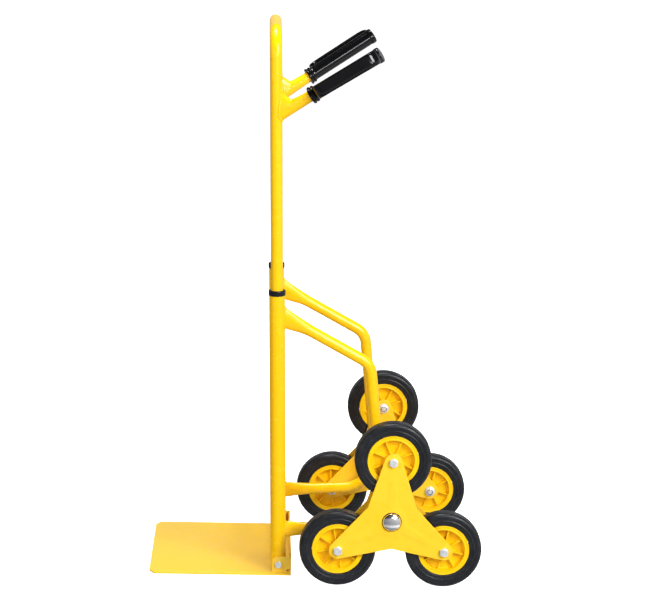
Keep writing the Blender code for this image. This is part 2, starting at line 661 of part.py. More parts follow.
def cluster(side):
    """Two star plates with three wheels bolted between them, turning on the axle."""
    word = SIDES[side]
    hub = empty(f"{word}_cluster_axis", CLUSTERS[side])
    middle_of_plate = PLATE_INSIDE + STAR_THICKNESS / 2
    star = star_mesh(-side)
    put(f"{word}_outer_star", star, yellow, hub, (0, side * middle_of_plate, 0), outward(side))
    put(f"{word}_inner_star", star, yellow, hub, (0, -side * middle_of_plate, 0), outward(side))
    sleeve = hollow_profile(HUB_SLEEVE_R, AXLE_R + GAP, GAP - PLATE_INSIDE, PLATE_INSIDE - GAP)
    put(f"{word}_hub_sleeve", turned_mesh("hub_sleeve", sleeve, 16), zinc, hub, turn=outward(side))
    face = PLATE_INSIDE + STAR_THICKNESS + GAP
    place = CLUSTERS[side] + Vector((0, side * face, 0))
    put(f"{word}_hub_cap", hub_cap_mesh(), chrome, None, place, outward(side))
    for word_at, angle in ARM_ANGLES.items():
        wheel(f"{word}_{word_at}", side, hub, Vector((RING_R * cos(angle), 0, RING_R * sin(angle))), face)


def wheel(name, side, hub, place, face):
    axis = empty(f"{name}_wheel_axis", place, hub)
    put(f"{name}_rim", wheel_meshes["rim"], rim_yellow, axis, turn=outward(side))
    put(f"{name}_tyre", wheel_meshes["tyre"], rubber, axis, turn=outward(side))
    out = Vector((0, side * face, 0))
    put(f"{name}_bolt", wheel_meshes["bolt"], zinc, hub, place + out, outward(side))
    put(f"{name}_nut", wheel_meshes["nut"], zinc, hub, place - out, outward(-side))


clear_scene()
yellow = material("yellow_paint", (1.0, 0.62, 0.02), 0.35)
pale_yellow = material("toe_plate_paint", (1.0, 0.68, 0.10), 0.45)
rim_yellow = material("yellow_plastic", (1.0, 0.52, 0.01), 0.45)
rubber = material("tyre_rubber", (0.022, 0.023, 0.028), 0.70)
black = material("black_plastic", (0.012, 0.012, 0.014), 0.30)
zinc = material("zinc_steel", (0.62, 0.63, 0.65), 0.35, 1.0)
chrome = material("chrome", (0.80, 0.81, 0.83), 0.08, 1.0)

lean_axis = empty("frame_lean", (FRAME_X, 0, 0), turn=(0, -LEAN, 0))
spaces = frame_cutters(lean_axis)
for name, height in CROSSBARS.items():
    crossbar(name, height, lean_axis, spaces)
axle_pieces()
handle_tube(lean_axis, spaces)
grip = grip_mesh()
for side in SIDES:
    upright(side, lean_axis, spaces)
    side_tube(side, lean_axis, spaces)
    collar(side, lean_axis)
    lock(side, lean_axis, spaces)
    grip_line = grip_axis(side, lean_axis)
    grip_stub(side, grip_line, spaces)
    put(f"{SIDES[side]}_grip", grip, black, grip_line, (0, 0, GRIP_START))
hinge_fasteners(lean_axis)
toe_plate(empty("toe_pivot", in_frame(0, 0, PIVOT_HEIGHT)))
bolt_length = 2 * (PLATE_INSIDE + STAR_THICKNESS + GAP) + WASHER + WHEEL_NUT + BOLT_END
wheel_meshes = {
    "rim": rim_mesh(),
    "tyre": tyre_mesh(),
    "bolt": bolt_mesh("wheel_bolt", WHEEL_BOLT_R, WHEEL_BOLT_FLATS, WHEEL_BOLT_HEAD, bolt_length),
    "nut": nut_mesh("wheel_nut", WHEEL_BOLT_R + GAP, WHEEL_BOLT_FLATS, WHEEL_NUT, WHEEL_WASHER_R, WASHER),
}
for side in SIDES:
    cluster(side)
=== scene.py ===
"""Looks of a stair-climbing hand truck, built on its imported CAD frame.

Metres, +Z up. X runs from the toe plate at -X to the wheels at +X, and the left side is at -Y.
Shapes are (points, faces) pairs in numpy. The tubes are laid out in the leaning frame: x behind the
uprights' axes, y across, z along the uprights from the ground.
"""

from math import cos, pi, radians, sin, tan

import bmesh
import bpy
import numpy as np
from mathutils import Matrix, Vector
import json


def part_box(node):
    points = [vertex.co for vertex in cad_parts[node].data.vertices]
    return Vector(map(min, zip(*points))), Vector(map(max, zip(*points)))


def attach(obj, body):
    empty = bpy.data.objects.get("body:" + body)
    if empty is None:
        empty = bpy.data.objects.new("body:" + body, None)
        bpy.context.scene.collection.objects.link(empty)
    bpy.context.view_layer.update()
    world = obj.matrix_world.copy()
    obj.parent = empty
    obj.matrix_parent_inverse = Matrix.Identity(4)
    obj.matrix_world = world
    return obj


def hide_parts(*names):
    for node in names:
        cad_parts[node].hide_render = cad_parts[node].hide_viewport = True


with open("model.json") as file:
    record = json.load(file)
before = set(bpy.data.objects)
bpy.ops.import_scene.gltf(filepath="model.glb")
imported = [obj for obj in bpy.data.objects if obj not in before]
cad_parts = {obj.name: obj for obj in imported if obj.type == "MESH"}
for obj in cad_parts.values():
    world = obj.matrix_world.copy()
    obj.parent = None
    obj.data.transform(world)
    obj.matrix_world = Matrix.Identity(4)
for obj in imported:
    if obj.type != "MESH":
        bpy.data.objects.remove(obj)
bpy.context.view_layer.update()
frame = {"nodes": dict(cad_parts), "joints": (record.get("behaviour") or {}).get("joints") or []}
JOINTS = {joint["name"]: joint for joint in frame["joints"]}
MM = 0.001
SIDES = {"left": -1, "right": 1}
WHEELS = {"top": 90, "front": 210, "rear": 330}

# Sizes of the CAD parts that the pieces stand for
GAP = 0.3 * MM  # between solids that would touch
UPRIGHT_Y = 0.139
UPRIGHT_R = 0.016
UPRIGHT_WALL = 1.5 * MM
UPRIGHT_TOP = 0.5810
PIVOT_HEIGHT = 0.020
FOOT_R = 0.01645
CROSSBAR_R = 0.011
SIDE_TUBE_R = 0.0115
SIDE_TUBE_CORNERS = [(0, 0.546), (0.1886, 0.4374), (0.2195, 0.0960), (0, 0.0895)]
SIDE_TUBE_BENDS = [0, 0.040, 0.070, 0]
PRESSED = 0.072  # the length over which a side tube's end flattens
HANDLE_R = 0.0122
HANDLE_WALL = 1.4 * MM
HANDLE_BOTTOM = 0.515
HANDLE_TOP = 1.1099
HANDLE_BEND = 0.050
LOCK_HOLES = (0.535, 0.700, 0.865)
STUB_R = 0.0112
STUB_HEIGHT = 0.9426  # where a stub's axis meets the handle leg's axis
STUB_PITCH = radians(31.4)
STUB_SPLAY = radians(11.5)
GRIP_START = 0.082
HOUSING_HALF = 158 * MM
AXLE_BORE = 8.3 * MM
SPACER_R = 11.5 * MM
WHEEL_PLANE = 0.2101
PLATE_INSIDE = 0.0225
STAR_THICKNESS = 0.0032
RING_R = 0.1239
BOLT_FACE = PLATE_INSIDE + STAR_THICKNESS + GAP  # from the wheels' plane to under a bolt's head
WASHER = 1.5 * MM

# Bolts and nuts: radius, width across flats, and the heights of head and nut
WHEEL_BOLT = (5 * MM, 17 * MM, 6.2 * MM, 7.5 * MM)
HINGE_BOLT = (4 * MM, 13 * MM, 5.3 * MM, 6.5 * MM)
CRIMP = 0.43  # the radius of a nut's collar, in widths across its flats

LIP = 0.3 * MM  # the rounding of a tube's open end
WELD_DEPTH = 0.5 * MM  # that a welded end reaches into the tube it meets
BEAD_R = 1.9 * MM

UP = np.array(JOINTS["handle_slide"]["axis"])
BACK = np.array([UP[2], 0, -UP[0]])
PIVOT = np.array(JOINTS["toe_plate_fold"]["pos_m"])
FOOT = PIVOT - PIVOT_HEIGHT * UP


# Shapes


def leaning(points):
    """Points of the leaning frame, in the object's own frame."""
    points = np.asarray(points, float)
    return FOOT + points[..., :1] * BACK + points[..., 1:2] * (0, 1, 0) + points[..., 2:] * UP


def height_of(node):
    """The height of a node's middle in the leaning frame."""
    low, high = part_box(node)
    return (np.array((low + high) / 2) - FOOT) @ UP


def leaned(shape):
    """A shape of the leaning frame, in the object's own frame."""
    return leaning(shape[0]), shape[1]


def unit(vectors):
    return vectors / np.linalg.norm(vectors, axis=-1, keepdims=True)


def softened(points, radius, steps=6, loop=False):
    """A path with its corners rounded. The radius is one number, or one for each point."""
    points = np.asarray(points, float)
    count = len(points)
    radii = np.broadcast_to(radius, count)
    made = []
    for i, corner in enumerate(points):
        if radii[i] == 0 or (not loop and i in (0, count - 1)):
            made.append(corner)
            continue
        before = points[i - 1] - corner
        after = points[(i + 1) % count] - corner
        into, out = unit(before), unit(after)
        half = np.arccos(np.clip(into @ out, -1, 1)) / 2
        if half > 1.55:  # nearly straight, which is pi / 2
            made.append(corner)
            continue
        room = 0.49 * min(np.linalg.norm(before), np.linalg.norm(after))
        reach = min(radii[i] / tan(half), room)
        centre = corner + unit(into + out) * reach / cos(half)
        first = corner + into * reach - centre
        last = corner + out * reach - centre
        turn = pi - 2 * half
        for t in np.linspace(0, 1, steps + 1):
            made.append(centre + (sin((1 - t) * turn) * first + sin(t * turn) * last) / sin(turn))
    return np.array(made)


def distances(path):
    """How far along a path each of its points is."""
    return np.append(0, np.cumsum(np.linalg.norm(np.diff(path, axis=0), axis=1)))


def evenly(path, step, loop=False):
    """The same path with points at equal distances."""
    path = np.vstack([path, path[:1]]) if loop else np.asarray(path)
    along = distances(path)
    count = max(int(round(along[-1] / step)), 3)
    places = np.linspace(0, along[-1], count + 1)
    columns = [np.interp(places, along, column) for column in path.T]
    found = np.stack(columns, axis=1)
    return found[:-1] if loop else found


def eased(amount):
    """A share kept from 0 to 1, with a smooth start and end."""
    amount = np.clip(amount, 0, 1)
    return amount ** 2 * (3 - 2 * amount)


def ramped(value, softness):
    """0 below zero and the value itself above, with the corner between rounded off."""
    return (value + np.sqrt(value ** 2 + softness)) / 2


def circle(radius, steps=48):
    angles = np.arange(steps) * 2 * pi / steps
    return radius * np.stack([np.cos(angles), np.sin(angles)], axis=1)


def swept(path, sections, reference, loop=False):
    """Rings of a section along a path, with the section's first axis along the reference."""
    path = np.asarray(path, float)
    if loop:
        ahead = unit(np.roll(path, -1, 0) - np.roll(path, 1, 0))
    else:
        ahead = unit(np.gradient(path, axis=0))
    reference = np.asarray(reference, float)
    first = unit(reference - ahead * (ahead * reference).sum(1, keepdims=True))
    second = np.cross(ahead, first)
    return path[:, None] + sections[..., :1] * first[:, None] + sections[..., 1:] * second[:, None]


def skin(rings, loop=False):
    """A surface through rings of points. A loop also joins the last ring to the first."""
    count, around = rings.shape[:2]
    rows = np.arange(count if loop else count - 1)[:, None]
    columns = np.arange(around)[None]
    following = (rows + 1) % count
    right = (columns + 1) % around
    faces = np.stack([rows * around + columns, rows * around + right,
                      following * around + right, following * around + columns], axis=-1)
    return rings.reshape(-1, 3), faces.reshape(-1, 4).tolist()


def closed(rings, start=None, end=None):
    """Rings with each end drawn in to a point: the one given, or its own middle."""
    start = rings[0].mean(0) if start is None else start
    end = rings[-1].mean(0) if end is None else end
    one = (1, *rings.shape[1:])
    return np.concatenate([np.broadcast_to(start, one), rings, np.broadcast_to(end, one)])


def turned(profile, steps=96, loop=False):
    """A profile of (radius, height) turned about z."""
    profile = np.asarray(profile, float)
    angles = np.arange(steps) * 2 * pi / steps
    rings = np.stack([profile[:, :1] * np.cos(angles), profile[:, :1] * np.sin(angles),
                      np.broadcast_to(profile[:, 1:], (len(profile), steps))], axis=-1)
    return skin(rings, loop)


def ring_of(profile, radii, corner_steps=4, steps=72):
    """A ring turned about z from a closed profile with its corners rounded."""
    return turned(softened(profile, radii, corner_steps, loop=True), steps, loop=True)


def prism(outline, low, high):
    """A flat outline in XY given a thickness along z."""
    outline = np.asarray(outline, float)
    count = len(outline)
    points = np.vstack([np.column_stack([outline, np.full(count, low)]),
                        np.column_stack([outline, np.full(count, high)])])
    faces = [list(range(count))[::-1], list(range(count, 2 * count))]
    faces += [[i, (i + 1) % count, count + (i + 1) % count, count + i] for i in range(count)]
    return points, faces


def joined(*shapes):
    points, faces, start = [], [], 0
    for shape_points, shape_faces in shapes:
        points.append(shape_points)
        faces += [[start + i for i in face] for face in shape_faces]
        start += len(shape_points)
    return np.vstack(points), faces


def moved(shape, axes, at=(0, 0, 0)):
    """A shape whose own x, y and z lie along these three axes, with its origin at a place."""
    return shape[0] @ np.asarray(axes, float) + at, shape[1]


def outward(side):
    """Axes that turn a shape's own z away from the truck's middle, and keep its x."""
    return [(1, 0, 0), (0, 0, -side), (0, side, 0)]


def meeting(points, way, centre, radius):
    """Points slid along a way to where it first meets a cylinder that stands along z."""
    way = np.asarray(way, float)
    across = way * (1, 1, 0)
    offset = (points - centre) * (1, 1, 0)
    square = across @ across
    linear = offset @ across
    rest = (offset ** 2).sum(-1) - radius ** 2
    slide = (-linear - np.sqrt(np.maximum(linear ** 2 - square * rest, 0))) / square
    return points + slide[..., None] * way


def placed(name, data):
    """A new object in the scene with this mesh, light or camera."""
    made = bpy.data.objects.new(name, data)
    bpy.context.scene.collection.objects.link(made)
    return made


def mesh_from(name, shape):
    mesh = bpy.data.meshes.new(name)
    mesh.from_pydata(shape[0].tolist(), [], shape[1])
    work = bmesh.new()
    work.from_mesh(mesh)
    bmesh.ops.remove_doubles(work, verts=work.verts, dist=1e-6)
    bmesh.ops.recalc_face_normals(work, faces=work.faces)
    work.to_mesh(mesh)
    work.free()
    return mesh


def combined(base, operation, others, bevel=0.0):
    """A shape joined to others or cut by them, with its edges bevelled afterwards."""
    made = placed("combined", mesh_from("combined", base))
    tools = []
    for other in others:
        tool = placed("tool", mesh_from("tool", other))
        boolean = made.modifiers.new("Combine", "BOOLEAN")
        boolean.operation = operation
        boolean.solver = "EXACT"
        boolean.object = tool
        tools.append(tool)
    if bevel:
        rounding = made.modifiers.new("Edges", "BEVEL")
        rounding.width = bevel
        rounding.segments = 3
        rounding.limit_method = "ANGLE"
        rounding.angle_limit = radians(40)
        rounding.use_clamp_overlap = True
    bpy.context.view_layer.update()
    graph = bpy.context.evaluated_depsgraph_get()
    mesh = bpy.data.meshes.new_from_object(made.evaluated_get(graph))
    points = np.array([vertex.co for vertex in mesh.vertices])
    faces = [list(polygon.vertices) for polygon in mesh.polygons]
    for obj in [made, *tools]:
        bpy.data.objects.remove(obj, do_unlink=True)
    return points, faces


def piece(name, shape, finish, body, stands_for=(), sharp=35):
    """One visible piece, which moves with a CAD body and stands for CAD nodes."""
    material, slot = finish
    mesh = mesh_from(name, shape)
    mesh.shade_smooth()
    mesh.set_sharp_from_angle(angle=radians(sharp))
    mesh.materials.append(material)
    obj = placed(name, mesh)
    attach(obj, body)
    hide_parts(*stands_for)


# Materials


def preset(node, sockets):
    """Give a node's sockets these values."""
    for socket, value in sockets.items():
        node.inputs[socket].default_value = value


class Nodes:
    """The node tree of a new material, with its Principled shader and its object coordinates."""

    def __init__(self, name, roughness, metallic=0.0, **more):
        self.material = bpy.data.materials.new(name)
        self.material.use_nodes = True
        self.tree = self.material.node_tree
        self.shader = self.tree.nodes["Principled BSDF"]
        preset(self.shader, {"Roughness": roughness, "Metallic": metallic, **more})
        self.place = self.tree.nodes.new("ShaderNodeTexCoord").outputs["Object"]

    def link(self, output, node, socket):
        self.tree.links.new(output, node.inputs[socket])

    def noise(self, scale, detail=3.0, roughness=0.55, stretch=(1, 1, 1)):
        """Noise with this many features to a metre, stretched along the axes."""
        mapping = self.tree.nodes.new("ShaderNodeMapping")
        preset(mapping, {"Scale": stretch})
        self.link(self.place, mapping, "Vector")
        made = self.tree.nodes.new("ShaderNodeTexNoise")
        preset(made, {"Scale": scale, "Detail": detail, "Roughness": roughness})
        self.link(mapping.outputs["Vector"], made, "Vector")
        return made.outputs["Fac"]

    def span(self, value, low, high, to_low=0.0, to_high=1.0):
        """A value's range from low to high spread from to_low to to_high."""
        made = self.tree.nodes.new("ShaderNodeMapRange")
        made.interpolation_type = "SMOOTHSTEP"
        preset(made, {"From Min": low, "From Max": high, "To Min": to_low, "To Max": to_high})
        self.link(value, made, "Value")
        return made.outputs["Result"]

    def maths(self, operation, first, second):
        made = self.tree.nodes.new("ShaderNodeMath")
        made.operation = operation
        for i, value in enumerate((first, second)):
            if isinstance(value, (int, float)):
                made.inputs[i].default_value = value
            else:
                self.tree.links.new(value, made.inputs[i])
        return made.outputs["Value"]

    def colours(self, amount, first, second):
        """A mix of two colours, each an (r, g, b) or another mix."""
        made = self.tree.nodes.new("ShaderNodeMix")
        made.data_type = "RGBA"
        self.link(amount, made, "Factor")
        for value, socket in ((first, made.inputs[6]), (second, made.inputs[7])):
            if isinstance(value, tuple):
                socket.default_value = (*value, 1)
            else:
                self.tree.links.new(value, socket)
        return made.outputs[2]

    def edges(self, low, high):
        """Near 1 on the outer edges of the surface."""
        geometry = self.tree.nodes.new("ShaderNodeNewGeometry")
        return self.span(geometry.outputs["Pointiness"], low, high)

    def bump(self, height, strength, distance):
        made = self.tree.nodes.new("ShaderNodeBump")
        preset(made, {"Strength": strength, "Distance": distance})
        self.link(height, made, "Height")
        previous = self.shader.inputs["Normal"]
        if previous.is_linked:
            self.tree.links.new(previous.links[0].from_socket, made.inputs["Normal"])
        self.link(made.outputs["Normal"], self.shader, "Normal")

    def colour(self, output):
        self.link(output, self.shader, "Base Color")

    def roughness(self, output):
        self.link(output, self.shader, "Roughness")


def coated_paint(name, main, deep, worn_and_highlit, roughness, wear_and_highlight, shine=0.38):
    """Powder coat: a little mottled and orange-peeled, and paler on its sharp edges, partly from
    rubbing and partly as a painted highlight where the edges catch the light.
    """
    made = Nodes(name, roughness[0], **{"Specular IOR Level": shine})
    broad = made.noise(9, 2)
    mottle = made.noise(60, 4, 0.6)
    tint = made.colours(made.span(made.maths("MULTIPLY", broad, mottle), 0.12, 0.42), deep, main)
    rubs = made.span(made.noise(140, 4, 0.7), 0.42, 0.66)
    # Sharp edges are painted paler: part rubbing, part a painted highlight.
    rubbed_and_highlit = made.maths("MULTIPLY", made.maths("MULTIPLY", made.edges(0.52, 0.60), rubs), wear_and_highlight)
    made.colour(made.colours(rubbed_and_highlit, tint, worn_and_highlit))
    made.roughness(made.span(mottle, 0.3, 0.7, *roughness))
    made.bump(made.noise(620, 2), 0.045, 0.0002)
    made.bump(made.noise(35, 1), 0.03, 0.0006)
    return made.material


def moulded_plastic(name, main, deep, pale, roughness, grain, shine=0.32):
    """Moulded plastic: flow marks, a fine grain, and edges painted paler, partly as polish from
    handling and partly as a painted highlight.
    """
    made = Nodes(name, roughness[0], **{"Specular IOR Level": shine})
    flow = made.noise(28, 3, 0.6, (1, 2.2, 1))
    tint = made.colours(made.span(flow, 0.3, 0.7), deep, main)
    # Sharp edges are mixed towards the pale colour: part polish from handling, part a painted
    # highlight.
    made.colour(made.colours(made.maths("MULTIPLY", made.edges(0.51, 0.62), 0.6), tint, pale))
    made.roughness(made.span(made.noise(160, 4), 0.3, 0.7, *roughness))
    made.bump(made.noise(grain[0], 3), grain[1], 0.00015)
    return made.material


def tyre_rubber():
    """Solid rubber: dusty grey-black, with tread edges painted paler in patches, partly as scuffing
    and partly as a painted highlight, and a fine grain.
    """
    made = Nodes("rubber_of_tyres", 0.6, **{"Specular IOR Level": 0.34})
    cloud = made.maths("MULTIPLY", made.noise(26, 4, 0.65), made.noise(210, 3))
    dust = made.span(cloud, 0.16, 0.42)
    tint = made.colours(dust, (0.0075, 0.0088, 0.0112), (0.0145, 0.0168, 0.0205))
    # Edges are painted a paler grey in patches: part scuffing, part a painted highlight.
    scuffs_and_highlight = made.maths("MULTIPLY", made.edges(0.505, 0.58), made.span(made.noise(90, 4), 0.4, 0.7))
    made.colour(made.colours(scuffs_and_highlight, tint, (0.075, 0.075, 0.080)))
    made.roughness(made.span(dust, 0.0, 1.0, 0.34, 0.52))
    made.bump(made.noise(900, 3), 0.20, 0.0002)
    return made.material


def plated_steel(name, bright, dull, roughness, streaks, metallic=1.0, scratches=0.05):
    """Plated or polished steel, clouded and lightly scratched."""
    made = Nodes(name, roughness[0], metallic)
    cloud = made.noise(70, 4, 0.6)
    tint = made.colours(made.span(cloud, 0.32, 0.68), dull, bright)
    # Sharp edges are painted paler: part rubbing, part a painted highlight.
    rubbed_and_highlit = made.maths("MULTIPLY", made.edges(0.52, 0.66), 0.5)
    made.colour(made.colours(rubbed_and_highlit, tint, (0.94, 0.94, 0.95)))
    marks = made.noise(420, 3, 0.6, streaks)
    made.roughness(made.span(made.maths("ADD", cloud, marks), 0.7, 1.3, *roughness))
    made.bump(marks, scratches, 0.0001)
    return made.material


# Each finish is a material and the slot that it belongs to.
PAINT = coated_paint("powder_coat_yellow", (0.95, 0.550, 0.003), (0.93, 0.515, 0.002),
                     (1.0, 0.62, 0.06), (0.19, 0.29), 0.55), "frame_paint"
STAR_PAINT = coated_paint("powder_coat_stars", (0.95, 0.570, 0.028), (0.93, 0.545, 0.020),
                          (1.0, 0.64, 0.10), (0.26, 0.38), 0.65, 0.22), "frame_paint"
# The toe plate's yellow is made paler than the frame's: painted light, standing in for the strong
# light that falls on its upward face.
TOE_PAINT_LIT = coated_paint("powder_coat_toe_plate_painted_paler", (0.93, 0.600, 0.050), (0.91, 0.575, 0.040),
                         (1.0, 0.60, 0.01), (0.30, 0.42), 0.8, 0.50), "toe_plate_paint"
RIM = moulded_plastic("plastic_of_rims", (0.93, 0.570, 0.002), (0.90, 0.520, 0.001),
                      (1.0, 0.66, 0.03), (0.33, 0.47), (520, 0.12), 0.20), "rim_plastic"
GRIP = moulded_plastic("plastic_of_grips", (0.0036, 0.0037, 0.0044), (0.0025, 0.0026, 0.0031),
                       (0.014, 0.014, 0.016), (0.11, 0.16), (260, 0.01), 0.34), "grip_rubber"
BLACK = moulded_plastic("plastic_black", (0.0100, 0.0100, 0.0112), (0.007, 0.007, 0.008),
                        (0.04, 0.04, 0.045), (0.18, 0.30), (700, 0.08)), "black_plastic"
RUBBER = tyre_rubber(), "tyre_rubber"
ZINC = plated_steel("zinc_plating", (0.92, 0.95, 0.97), (0.78, 0.81, 0.84), (0.24, 0.38),
                    (1, 1, 5), metallic=0.62), "zinc_steel"
CHROME = plated_steel("chrome_plating", (0.97, 0.97, 0.98), (0.90, 0.91, 0.93), (0.15, 0.20),
                      (4, 1, 1), scratches=0.01), "chrome_cap"


# Tubes and welds


def bead(loop, reference):
    """A weld bead with a scalloped surface along a closed line."""
    path = evenly(loop, 0.7 * MM, loop=True)
    shares = np.linspace(0, 1, len(path))
    known = np.linspace(0, 1, len(loop) + 1)
    guide = np.vstack([reference, reference[:1]])
    guide = np.stack([np.interp(shares, known, column) for column in guide.T], axis=1)
    length = distances(np.vstack([path, path[:1]]))[-1]
    ripples = round(length / (2.4 * MM))
    swell = 1 + 0.22 * np.abs(np.sin(pi * ripples * np.arange(len(path)) / len(path)))
    sections = circle(BEAD_R, 12)[None] * swell[:, None, None]
    return skin(swept(path, sections, guide, loop=True), loop=True)


def tube(path, radius, wall, reference):
    """A hollow tube with rounded lips at its open ends."""
    ends = unit(np.array([path[1] - path[0], path[-2] - path[-1]]))
    path = np.vstack([path[:1], path[:1] + ends[0] * LIP, path[1:-1],
                      path[-1:] + ends[1] * LIP, path[-1:]])
    pull = np.zeros(len(path))
    pull[[0, -1]] = LIP
    section = circle(1, 56)[None]
    outer = swept(path, section * (radius - pull)[:, None, None], reference)
    inner = swept(path, section * (radius - wall + pull)[:, None, None], reference)
    return skin(np.concatenate([outer, inner[::-1]]), loop=True)


def upright(side):
    """The telescope's outer tube, with its foot rounded about the toe plate's pivot."""
    steps = 64
    around = circle(1, steps)
    levels = [*np.linspace(0.05, UPRIGHT_TOP - 0.02, 24), UPRIGHT_TOP - LIP]
    rings = []
    for radius, direction in ((UPRIGHT_R, 1), (UPRIGHT_R - UPRIGHT_WALL, -1)):
        pulled = radius - LIP * direction
        stack = []
        for r, rise in ((pulled, 0), (radius, LIP), (radius, 6 * MM)):
            bottom = PIVOT_HEIGHT - np.sqrt(FOOT_R ** 2 - (r * around[:, 0]) ** 2)
            stack.append((r, bottom + rise))
        stack += [(radius, z) for z in levels] + [(pulled, UPRIGHT_TOP)]
        made = [np.column_stack([r * around + (0, side * UPRIGHT_Y), np.broadcast_to(z, steps)])
                for r, z in stack]
        rings += made[::direction]
    return leaned(skin(np.array(rings), loop=True))


def welded_ends(rings, ways, centres):
    """A bar of rings whose ends meet an upright each, and the beads there, in the leaning frame."""
    ends = []
    beads = []
    for ring, way, centre in zip((rings[0], rings[-1]), ways, centres):
        inside = UPRIGHT_R - WELD_DEPTH
        ends.append([meeting(points, way, centre, inside) for points in (ring, ring.mean(0))])
        line = meeting(ring, way, centre, UPRIGHT_R)
        beads.append(bead(line, (line - centre) * (1, 1, 0)))
    (first, first_tip), (last, last_tip) = ends
    body = np.concatenate([first[None], rings, last[None]])
    return skin(closed(body, first_tip, last_tip)), beads


def crossbar(height):
    """A straight bar between the uprights, and its welds."""
    reach = UPRIGHT_Y - UPRIGHT_R - 6 * MM
    path = np.linspace((0, -reach, height), (0, reach, height), 25)
    rings = swept(path, circle(CROSSBAR_R), (0, 0, 1))
    return welded_ends(rings, [(0, -1, 0), (0, 1, 0)], [(0, -UPRIGHT_Y, 0), (0, UPRIGHT_Y, 0)])


def side_tube(side):
    """The tube from an upright back to the axle and forward again, pressed flatter at both ends."""
    corners = [(x, side * UPRIGHT_Y, z) for x, z in SIDE_TUBE_CORNERS]
    path = evenly(softened(corners, SIDE_TUBE_BENDS, 16), 4 * MM)
    along = distances(path)
    back = along[-1] - along
    thin = np.ones(len(path))
    tall = np.ones(len(path))
    drop = np.zeros(len(path))
    # Each end's thickness and height at the upright, in diameters, and how far it sags
    for distance, end_thin, end_tall, sag in ((along, 0.45, 1.80, 3 * MM), (back, 0.55, 1.50, 0)):
        amount = ramped(1 - distance / PRESSED, 0.0144)
        flare = 0.22 * np.exp(-np.maximum(distance - UPRIGHT_R, 0) / (10 * MM))
        thin += (end_thin - 1) * amount
        tall += (end_tall - 1) * amount + flare
        drop += sag * amount
    # Over the half of each pressed end that is nearest its upright the sections stand upright, so
    # that they come close without crossing it.
    across = np.cross(unit(np.gradient(path, axis=0)), (0, 1, 0))
    turn = eased((PRESSED - np.minimum(along, back)) / (PRESSED / 2))[:, None]
    steep = np.maximum(np.abs(across[:, 2:]), 0.1) * np.sign(across[:, 2:] + 1e-9)
    across = (1 - turn) * across + turn * (0, 0, 1) / steep
    section = circle(SIDE_TUBE_R)
    wide = (thin[:, None] * section[:, 0])[..., None] * (0, 1, 0)
    high = (tall[:, None] * section[:, 1])[..., None] * across[:, None]
    rings = (path - drop[:, None] * (0, 0, 1))[:, None] + wide + high
    kept = rings[(along > 21 * MM) & (back > 20 * MM)]
    ways = [unit(path[0] - path[1]), unit(path[-1] - path[-2])]
    return welded_ends(kept, ways, [(0, side * UPRIGHT_Y, 0)] * 2)


def frame_pieces():
    """Crossbars, uprights and side tubes, with all their welds in one piece."""
    welds = []
    for name in ("lower", "middle", "upper"):
        node = f"{name}_crossbar"
        shape, beads = crossbar(height_of(node))
        piece(f"crossbar_{name}", leaned(shape), PAINT, "frame", [node])
        welds += beads
    for word, side in SIDES.items():
        piece(f"upright_{word}", upright(side), PAINT, "frame", [f"{word}_upright"])
        shape, beads = side_tube(side)
        piece(f"side_tube_{word}", leaned(shape), PAINT, "frame", [f"{word}_side_tube"])
        welds += beads
    piece("welds_frame", leaned(joined(*welds)), PAINT, "frame", sharp=60)


def collar(side):
    """The glossy bush on an upright's end: a ring with a groove, and its skirt inside the tube."""
    bore = (HANDLE_R + GAP) / MM
    # Radius, height over the upright's end and rounding of each corner, in millimetres
    corners = np.array([
        (bore, 9.6, 0.3), (bore + 0.9, 10.8, 0.8), (16.8, 10.8, 1.3), (17.2, 8.8, 0.8),
        (17.2, 2.6, 0.3), (16.7, 2.2, 0.1), (16.7, 1.6, 0.1), (17.2, 1.2, 0.3), (17.2, 0, 0.3),
        (14.2, 0, 0), (14.2, -20, 0), (bore, -20, 0)]) * MM
    points, faces = ring_of(corners[:, :2] + (0, UPRIGHT_TOP + GAP), corners[:, 2], 5, 96)
    return leaning(points + (0, side * UPRIGHT_Y, 0)), faces


def lock_housing():
    """A threaded barrel on a wider foot, along z from the upright's axis."""
    profile = [(4.3, 27.3), (7.8, 27.3), (8.4, 26.7)]
    for top in 25.9 - 1.1 * np.arange(5):
        profile += [(8.4, top), (7.9, top - 0.45), (8.4, top - 0.9)]
    profile += [(8.4, 20.6), (9.0, 20.2), (9.0, 14.6), (4.3, 14.6)]
    return turned(np.array(profile) * MM, 72, loop=True)


def lock_knob():
    """A knob with flutes round its edge, on a plain pin, along z from the upright's axis."""
    # Radius, height and rounding of each corner, in millimetres
    corners = np.array([
        (0, 35.6, 0), (6.4, 35.6, 0.3), (6.9, 35.1, 0.3), (10, 34.6, 1.2), (10, 27.6, 0.6),
        (4, 27.6, 0), (4, 12.7, 0.4), (0, 12.7, 0)]) * MM
    points, faces = turned(softened(corners[:, :2], corners[:, 2], 5), 144)
    radius = np.hypot(points[:, 0], points[:, 1])
    angle = np.arctan2(points[:, 1], points[:, 0])
    flutes = 0.45 * MM * (1 + np.cos(18 * angle)) * np.clip((radius - 8.2 * MM) / (1.2 * MM), 0, 1)
    scale = np.where(radius > 0, (radius - flutes) / np.maximum(radius, 1e-9), 1)
    points[:, :2] *= scale[:, None]
    return points, faces


def leaning_axes(side):
    """Axes in the leaning frame that turn a shape's own z away from the truck's middle."""
    return [BACK, -side * UP, (0, side, 0)]


def collars_and_locks():
    lock_height = height_of("left_lock_housing")
    for word, side in SIDES.items():
        piece(f"collar_{word}", collar(side), BLACK, "frame", [f"{word}_collar"])
        place = leaning_axes(-side), leaning([0, side * UPRIGHT_Y, lock_height])
        piece(f"lock_housing_{word}", moved(lock_housing(), *place), ZINC, "frame",
              [f"{word}_lock_housing"])
        piece(f"lock_knob_{word}", moved(lock_knob(), *place), BLACK, f"{word}_lock",
              [f"{word}_lock_knob"])


